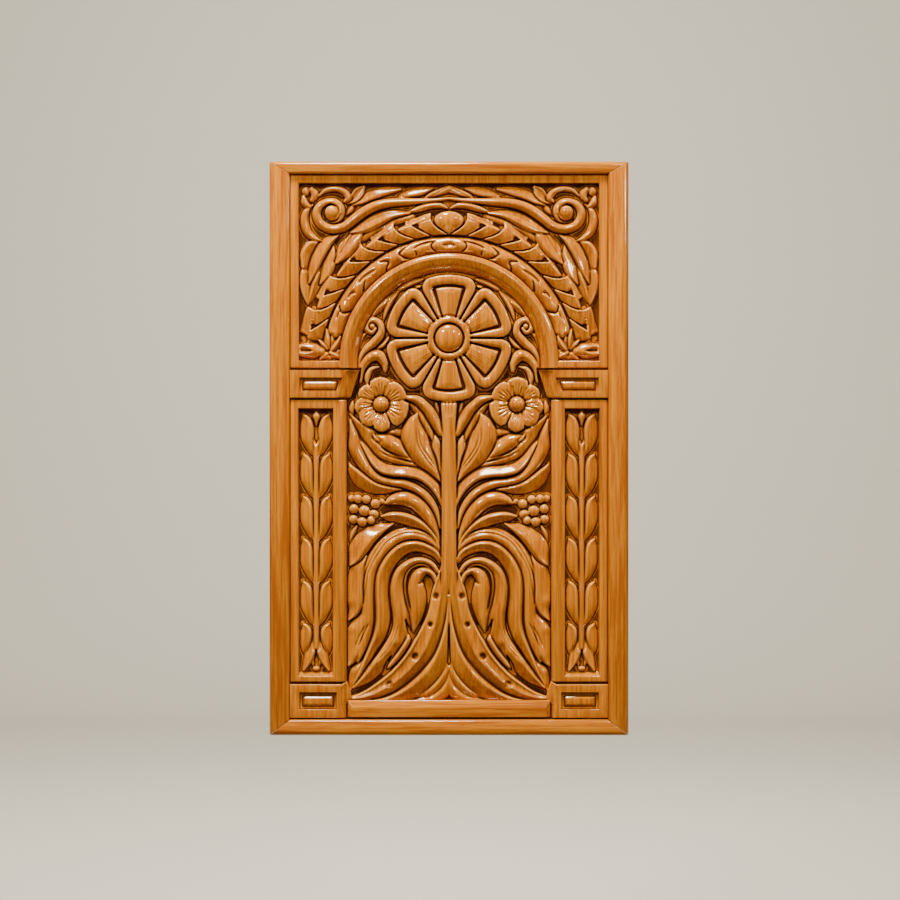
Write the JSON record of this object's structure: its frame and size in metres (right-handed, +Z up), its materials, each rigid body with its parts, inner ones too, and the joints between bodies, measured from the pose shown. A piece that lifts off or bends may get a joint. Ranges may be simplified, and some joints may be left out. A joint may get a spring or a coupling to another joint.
{
  "type": "carved wooden wall plaque",
  "caption": "Upright carved wood wall plaque: a mitred frame round an arched niche with a flowering plant, leafy corners and panelled pilasters.",
  "frame": {"origin": "middle of the flat back face, where the plaque is fixed to the wall", "axes": "+Z up, +X to the viewer's right, the carved face looks along -Y and the back face along +Y"},
  "size_m": [0.36, 0.0245, 0.575],
  "materials": {
    "frame_wood": "glossy honey-coloured lacquer over straight grain",
    "carved_wood": "glossy honey-coloured lacquer, darker in the cuts",
    "block_wood": "glossy honey-coloured lacquer",
    "sill_wood": "glossy honey-coloured lacquer over level grain"
  },
  "bodies": {
    "root": {"frame_left_stile": "frame_wood", "frame_right_stile": "frame_wood", "frame_top_rail": "frame_wood", "frame_bottom_rail": "frame_wood", "arch_panel": "carved_wood", "capital_left": "block_wood", "capital_right": "block_wood", "pilaster_left": "block_wood", "pilaster_right": "block_wood", "base_left": "block_wood", "base_right": "block_wood", "sill": "sill_wood", "tree_panel": "carved_wood"}
  },
  "joints": []
}
